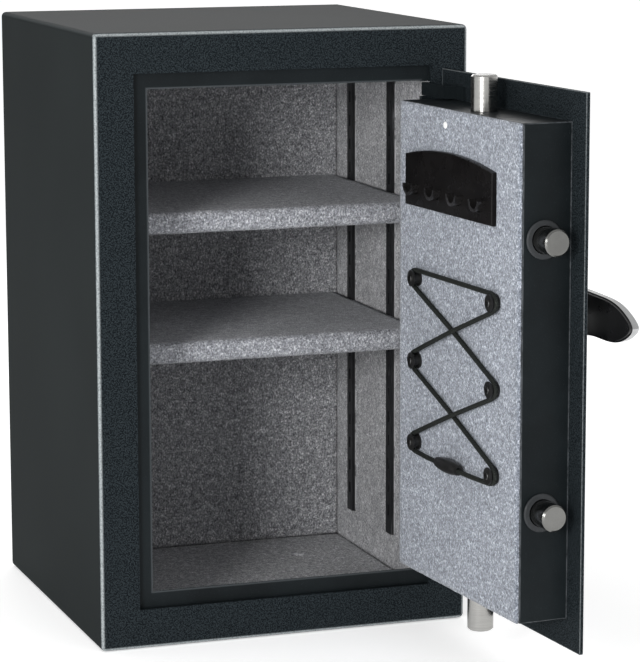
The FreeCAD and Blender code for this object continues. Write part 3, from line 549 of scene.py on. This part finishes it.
def satin_paint(name, low=None, high=None, shut=False, colour=SATIN_BLACK, rough=0.4, lip=None):
    """Smooth satin black paint: slight orange-peel, rubbed edges and, at a ledge, a painted highlight along
    the rolled lip.
    """
    n = Nodes(name)
    place = n.shut_place() if shut else n.place
    peel = n.noise(240.0, 2.0, 0.5, place)
    cloud = n.noise(9.0, 4.0, 0.65, place)
    lighter = tuple(channel * 1.7 for channel in colour)
    base = n.mix(n.ramp(cloud, 0.3, 0.75), colour, lighter)
    dust = n.ramp(n.noise(1300.0, 1.0, 0.5, place), 0.66, 0.8, 0.0, 0.4)
    base = n.mix(dust, base, (0.05, 0.055, 0.06))
    if low is not None:
        near_edge = n.ramp(n.edge_distance(low, high, place), 0.0003, 0.0016, 1.0, 0.0)
        pale_edge = n.math("MULTIPLY", near_edge, n.ramp(n.noise(120.0, 4.0, 0.7, place), 0.3, 0.65, 0.2, 1.0))
        base = n.mix(n.math("MULTIPLY", pale_edge, 0.7), base, (0.12, 0.13, 0.14))
    # A pale line along the ledge's rolled inner edge: a painted highlight where the roll catches the light.
    if lip is not None:
        (left, bottom), (right, top) = lip
        axes = n.axes(place)
        across = n.math("SUBTRACT", n.math("ABSOLUTE", n.math("SUBTRACT", axes[0], (left + right) / 2)),
                        (right - left) / 2)
        up = n.math("SUBTRACT", n.math("ABSOLUTE", n.math("SUBTRACT", axes[2], (bottom + top) / 2)),
                    (top - bottom) / 2)
        off = n.math("ABSOLUTE", n.math("MAXIMUM", across, up))
        base = n.mix(n.ramp(off, 0.0008, 0.0022, 0.75, 0.0), base, (0.055, 0.062, 0.066))
    roughness = n.ramp(n.noise(35.0, 4.0, 0.6, place), 0.3, 0.7, rough - 0.06, rough + 0.1)
    return n.done(base, roughness, n.bump(peel, 0.12, 0.0006), Specular_IOR_Level=0.08)


def carpet(name, dark, middle, light, shut=False):
    """Short needle-felt carpet: mixed dark and pale fibres, tufts and a soft sheen."""
    n = Nodes(name)
    place = n.shut_place() if shut else n.place
    stretched = n.scaled(place, (1.0, 1.0, 0.7))
    fibres = n.noise(560.0, 3.0, 0.8, stretched)
    tufts = n.cells(520.0, "F1", place)
    clumps = n.noise(150.0, 3.0, 0.6, place)
    wear = n.noise(11.0, 3.0, 0.55, place)
    mixed = n.math("ADD", n.math("MULTIPLY", fibres, 0.72), n.math("MULTIPLY", clumps, 0.28))
    base = n.mix(n.ramp(mixed, 0.36, 0.5), dark, middle)
    base = n.mix(n.ramp(mixed, 0.5, 0.63), base, light)
    base = n.mix(n.ramp(wear, 0.3, 0.7, 0.0, 0.16), base, dark)
    # Darker between the tufts, where the height dips: painted shade in the gaps.
    base = n.mix(n.ramp(tufts, 0.42, 0.75, 0.0, 0.45), base, dark)
    height = n.math("ADD", n.math("MULTIPLY", fibres, 1.0), n.math("MULTIPLY", tufts, -0.5))
    rough = n.ramp(fibres, 0.3, 0.7, 0.85, 1.0)
    return n.done(base, rough, n.bump(height, 0.7, 0.0014), Specular_IOR_Level=0.2, Sheen_Weight=0.25,
                  Sheen_Roughness=0.6)


def metal(name, colour, rough, axis_scale, shut=False, stain=0.0, bump=0.08, metallic=1.0):
    """Plated steel with fine turning or brushing marks and faint staining."""
    n = Nodes(name)
    place = n.shut_place() if shut else n.place
    lines = n.noise(90.0, 5.0, 0.7, n.scaled(place, axis_scale))
    smudge = n.noise(28.0, 4.0, 0.6, place)
    darker = tuple(channel * 0.8 for channel in colour)
    base = n.mix(n.ramp(lines, 0.3, 0.7), darker, colour)
    base = n.mix(n.ramp(smudge, 0.45, 0.8, 0.0, stain), base, tuple(channel * 0.4 for channel in colour))
    roughness = n.ramp(n.math("ADD", n.math("MULTIPLY", lines, 0.6), n.math("MULTIPLY", smudge, 0.4)),
                       0.3, 0.7, rough - 0.05, rough + 0.1)
    return n.done(base, roughness, n.bump(lines, bump, 0.0003), metallic=metallic)


def plastic(name, colour, rough, grain_scale, grain, coat=0.0, gloss=0.5):
    """Moulded plastic: a fine grain, faint flow marks and a little dust."""
    n = Nodes(name)
    grain_noise = n.noise(grain_scale, 2.0, 0.6)
    flow = n.noise(24.0, 4.0, 0.6)
    dust = n.ramp(n.noise(1100.0, 1.0, 0.5), 0.64, 0.8, 0.0, 0.35)
    lighter = tuple(channel * 1.8 + 0.002 for channel in colour)
    base = n.mix(n.ramp(flow, 0.3, 0.75), colour, lighter)
    base = n.mix(dust, base, (0.08, 0.08, 0.085))
    roughness = n.ramp(n.noise(50.0, 3.0, 0.6), 0.3, 0.7, rough - 0.04, rough + 0.08)
    return n.done(base, roughness, n.bump(grain_noise, grain, 0.0004), Coat_Weight=coat, Coat_Roughness=0.08,
                  Specular_IOR_Level=gloss)


def particle_board(name):
    """Raw board: pressed chips of several browns."""
    n = Nodes(name)
    chips = n.cells(260.0, "F1", n.scaled(n.place, (1.0, 0.5, 2.0)), "Color")
    tone = n.axes(chips)[0]
    base = n.mix(tone, (0.30, 0.19, 0.10), (0.58, 0.43, 0.27))
    base = n.mix(n.ramp(n.noise(700.0, 3.0, 0.6), 0.4, 0.7, 0.0, 0.5), base, (0.2, 0.12, 0.06))
    return n.done(base, n.ramp(n.noise(300.0), 0.3, 0.7, 0.7, 0.9), n.bump(tone, 0.3, 0.0006))


def elastic(name):
    """Braided elastic: crossing strands in dark green-black, with pale flecks of thread."""
    n = Nodes(name)
    place = n.shut_place()
    axes = n.axes(place)
    rise = n.math("MULTIPLY", n.math("ADD", axes[0], axes[2]), 2600.0)
    fall = n.math("MULTIPLY", n.math("SUBTRACT", axes[0], axes[2]), 2600.0)
    weave = n.math("MULTIPLY", n.math("SINE", rise), n.math("SINE", fall))
    # Lighter on the raised strands and darker where the weave dips: painted light and shade on the braid.
    base = n.mix(n.ramp(weave, -0.6, 0.8), (0.004, 0.005, 0.004), (0.018, 0.021, 0.019))
    fleck = n.ramp(n.noise(900.0, 2.0, 0.6, place), 0.6, 0.75, 0.0, 0.5)
    base = n.mix(fleck, base, (0.11, 0.12, 0.11))
    rough = n.ramp(weave, -1.0, 1.0, 0.9, 0.6)
    return n.done(base, rough, n.bump(weave, 0.5, 0.0006), Specular_IOR_Level=0.2)


def standard_enamel(name):
    """Black enamel on the slotted standards, rubbed bright along the front edge."""
    n = Nodes(name)
    axes = n.axes()
    base = n.mix(n.ramp(n.noise(40.0, 4.0, 0.6), 0.3, 0.7), (0.004, 0.004, 0.005), (0.012, 0.013, 0.014))
    scratches = n.noise(200.0, 4.0, 0.7, n.scaled(n.place, (1.0, 1.0, 0.08)))
    base = n.mix(n.ramp(scratches, 0.6, 0.75, 0.0, 0.6), base, (0.16, 0.16, 0.17))
    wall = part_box("standard_right_front")[1].x
    by_wall = n.ramp(n.math("ABSOLUTE", n.math("SUBTRACT", n.math("ABSOLUTE", axes[0]), wall)),
                     0.001, 0.0016, 1.0, 0.0)
    for node in ("standard_right_front", "standard_right_back"):
        off = n.math("ABSOLUTE", n.math("SUBTRACT", axes[1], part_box(node)[0].y))
        rim = n.math("MULTIPLY", n.ramp(off, 0.0002, 0.0006, 0.85, 0.0), by_wall)
        rubbed = n.math("MULTIPLY", rim, n.ramp(n.noise(90.0, 3.0, 0.7), 0.35, 0.55, 0.35, 1.0))
        base = n.mix(rubbed, base, (0.5, 0.5, 0.51))
    rough = n.ramp(scratches, 0.3, 0.7, 0.3, 0.5)
    return n.done(base, rough, n.bump(scratches, 0.15, 0.0003), Specular_IOR_Level=0.5)


def repaint(material, *nodes):
    """Gives CAD nodes their detailed material."""
    for node in nodes:
        slots = frame["nodes"][node].material_slots
        for material_slot in slots:
            material_slot.material = material


CASE_LOW, CASE_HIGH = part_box("case_shell")
PLATE_LOW, PLATE_HIGH = shut_box("door_plate")
PAN_LOW, PAN_HIGH = shut_box("door_pan")
ALL_NODES = sorted(frame["nodes"])


def named(start):
    """CAD nodes whose names begin alike."""
    return [node for node in ALL_NODES if node.startswith(start)]


repaint(powder_coat("case_powder_coat", CASE_LOW, CASE_HIGH), "case_shell")
# The door plate's edges get a narrower, weaker band of the same wear and painted highlight.
repaint(powder_coat("door_powder_coat", PLATE_LOW, PLATE_HIGH, shut=True, wear=0.0009,
                    edge_paleness=0.4), "door_plate")
JAMB_LOW, JAMB_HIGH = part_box("door_jamb")
# The ledge's width on three sides of the doorway, and on the hinge side.
JAMB_LEDGE = 0.0175
JAMB_HINGE_LEDGE = 0.010
# The ledge's inner edge, along which the jamb's paint gets a painted highlight for the rolled lip.
LEDGE_LIP = ((JAMB_LOW.x + JAMB_LEDGE, JAMB_LOW.z + JAMB_LEDGE),
             (JAMB_HIGH.x - JAMB_HINGE_LEDGE, JAMB_HIGH.z - JAMB_LEDGE))
repaint(satin_paint("jamb_paint", JAMB_LOW, JAMB_HIGH, lip=LEDGE_LIP), "door_jamb", "hinge_brackets")
repaint(satin_paint("pan_satin", PAN_LOW, PAN_HIGH, shut=True), "door_pan")
repaint(satin_paint("collar_satin", shut=True, colour=(0.03, 0.032, 0.034), rough=0.24), "bolt_collars")
repaint(satin_paint("arm_satin", shut=True), *named("hinge_arm"))
repaint(standard_enamel("standard_enamel"), *named("standard"))
repaint(particle_board("particle_board"), "upper_shelf_board", "lower_shelf_board")
# The side bolts' chrome gets a dark colour: painted shade standing in for the dark surroundings that the
# chrome reflects.
repaint(metal("side_bolt_chrome", (0.2, 0.2, 0.192), 0.18, (14.0, 0.4, 0.4), shut=True, bump=0.015),
        "side_bolt_upper", "side_bolt_lower")
# The screw head gets a near-white, barely metallic colour so that it shows as a bright dot: a painted
# highlight standing in for the glint on the metal screw.
repaint(metal("screw_painted_glint", (0.95, 0.95, 0.95), 0.35, (1.0, 1.0, 1.0), shut=True, metallic=0.1),
        "panel_screw")
repaint(metal("end_bolt_chrome", (0.42, 0.415, 0.4), 0.2, (0.4, 0.4, 14.0), shut=True, bump=0.015),
        "top_bolt", "bottom_bolt")
repaint(metal("zinc_plate", (0.62, 0.61, 0.58), 0.42, (1.0, 1.0, 1.0), stain=0.4, bump=0.2),
        "shelf_clips", "hinge_pins", "bolt_carriage", "top_rod", "bottom_rod", "handle_spindle", "drive_disc",
        "lock_case", "lock_pin")
repaint(plastic("rack_black", (0.003, 0.0026, 0.0026), 0.28, 300.0, 0.03, gloss=0.12), "key_rack")
repaint(plastic("hook_gloss", (0.004, 0.0035, 0.0035), 0.2, 300.0, 0.03, coat=0.25, gloss=0.5), "key_hooks")
repaint(plastic("peg_plastic", (0.006, 0.006, 0.006), 0.32, 900.0, 0.12), "lash_pegs", "cord_lock")
lash_cord(elastic("braided_elastic"))
repaint(metal("black_screws", (0.09, 0.09, 0.09), 0.3, (1.0, 1.0, 1.0), shut=True), "peg_screws")
repaint(plastic("lever_black", (0.006, 0.006, 0.0065), 0.3, 1000.0, 0.15), "lever_backing", "lever_neck")
repaint(metal("lever_chrome", (0.56, 0.565, 0.57), 0.16, (0.6, 0.6, 0.6), bump=0.02),
        "lever_cap", "handle_bezel")
repaint(plastic("keypad_shell", (0.009, 0.0095, 0.01), 0.45, 1200.0, 0.3), "keypad_housing")
repaint(plastic("key_rubber", (0.06, 0.062, 0.065), 0.62, 1400.0, 0.35),
        *[node for node in named("key_") if node not in ("key_rack", "key_hooks")])

INTERIOR = carpet("interior_felt", (0.075, 0.075, 0.082), (0.37, 0.375, 0.395), (0.95, 0.95, 0.97))
SHELF = carpet("shelf_felt", (0.075, 0.078, 0.088), (0.32, 0.33, 0.36), (0.78, 0.79, 0.83))
DOOR_FELT = carpet("door_felt", (0.05, 0.058, 0.075), (0.23, 0.255, 0.30), (0.66, 0.70, 0.78), shut=True)

for side in ("back", "left", "right", "ceiling"):
    carpet_slab(f"carpet_{side}", f"liner_{side}", "case", INTERIOR)


def floor_carpet():
    """The floor's carpet, with holes over the case's anchor holes."""
    mount = [m for m in RECORD["mounts"] if m["name"] == "anchor_holes"][0]
    wide = mount["dims"]["spacing_x_mm"] / 2000
    deep = mount["dims"]["spacing_y_mm"] / 2000
    piece = carpet_slab("carpet_floor", "liner_floor", "case", INTERIOR)
    places = [(x, y) for x in (-wide, wide) for y in (-deep, deep)]
    cut_holes(piece, places, mount["dims"]["hole_r_mm"] / 1000)


floor_carpet()
shelf_sleeve("carpet_upper_shelf", "upper_shelf_cover", SHELF)
shelf_sleeve("carpet_lower_shelf", "lower_shelf_cover", SHELF)
door_carpet("carpet_door", "door_panel", DOOR_FELT)


# Studio

FLOOR_HALF = 30.0
FLOOR_DROP = 0.0005
FLOOR_GLOW = 0.42


def floor():
    """Plain pale floor, which glows faintly except under the case."""
    n = Nodes("studio_floor")
    tone = n.noise(1.2, 2.0, 0.5)
    material = n.done(n.mix(tone, (0.9, 0.9, 0.9), (0.93, 0.93, 0.93)), n.ramp(tone, 0.3, 0.7, 0.85, 0.95),
                      Emission_Color=(1.0, 1.0, 1.0, 1.0))
    axes = n.axes()
    off_middle = n.math("MAXIMUM", n.math("ABSOLUTE", axes[0]), n.math("ABSOLUTE", axes[1]))
    case_edge = float(CASE_HIGH.x)
    glow = n.ramp(off_middle, 0.85 * case_edge, case_edge, 0.0, FLOOR_GLOW)
    n.put(n.shader.inputs["Emission Strength"], glow)
    mesh = bpy.data.meshes.new("studio_floor")
    level = CAD_BOUNDS[0][2] - FLOOR_DROP
    corners = ((-1, -1), (1, -1), (1, 1), (-1, 1))
    mesh.from_pydata([(x * FLOOR_HALF, y * FLOOR_HALF, level) for x, y in corners], [], [(0, 1, 2, 3)])
    mesh.materials.append(material)
    made = bpy.data.objects.new("studio_floor", mesh)
    bpy.context.scene.collection.objects.link(made)


def area_light(name, place, target, size, power):
    """A rectangular light that faces its target."""
    data = bpy.data.lights.new(name, "AREA")
    data.shape = "RECTANGLE"
    data.size, data.size_y = size
    data.energy = power
    made = bpy.data.objects.new(name, data)
    bpy.context.scene.collection.objects.link(made)
    made.location = place
    made.rotation_euler = (Vector(target) - Vector(place)).to_track_quat("-Z", "Y").to_euler()


def studio():
    """Soft white surroundings, a key from the left front, a weak fill, and a light behind for the top."""
    world = bpy.data.worlds.new("studio")
    bpy.context.scene.world = world
    world.use_nodes = True
    background = world.node_tree.nodes["Background"]
    background.inputs["Color"].default_value = (1.0, 1.0, 1.0, 1.0)
    background.inputs["Strength"].default_value = 0.68
    area_light("key_light", (-1.9, -2.5, 0.85), (0.1, 0.0, 0.3), (0.7, 0.7), 62.0)
    area_light("front_fill", (0.5, -2.8, 1.2), (0.0, 0.0, 0.3), (1.0, 1.0), 4.0)
    area_light("top_light", (0.6, 2.2, 1.5), (0.0, 0.0, 0.6), (1.4, 0.7), 13.0)
    bpy.context.scene.view_settings.view_transform = "Standard"


floor()
studio()
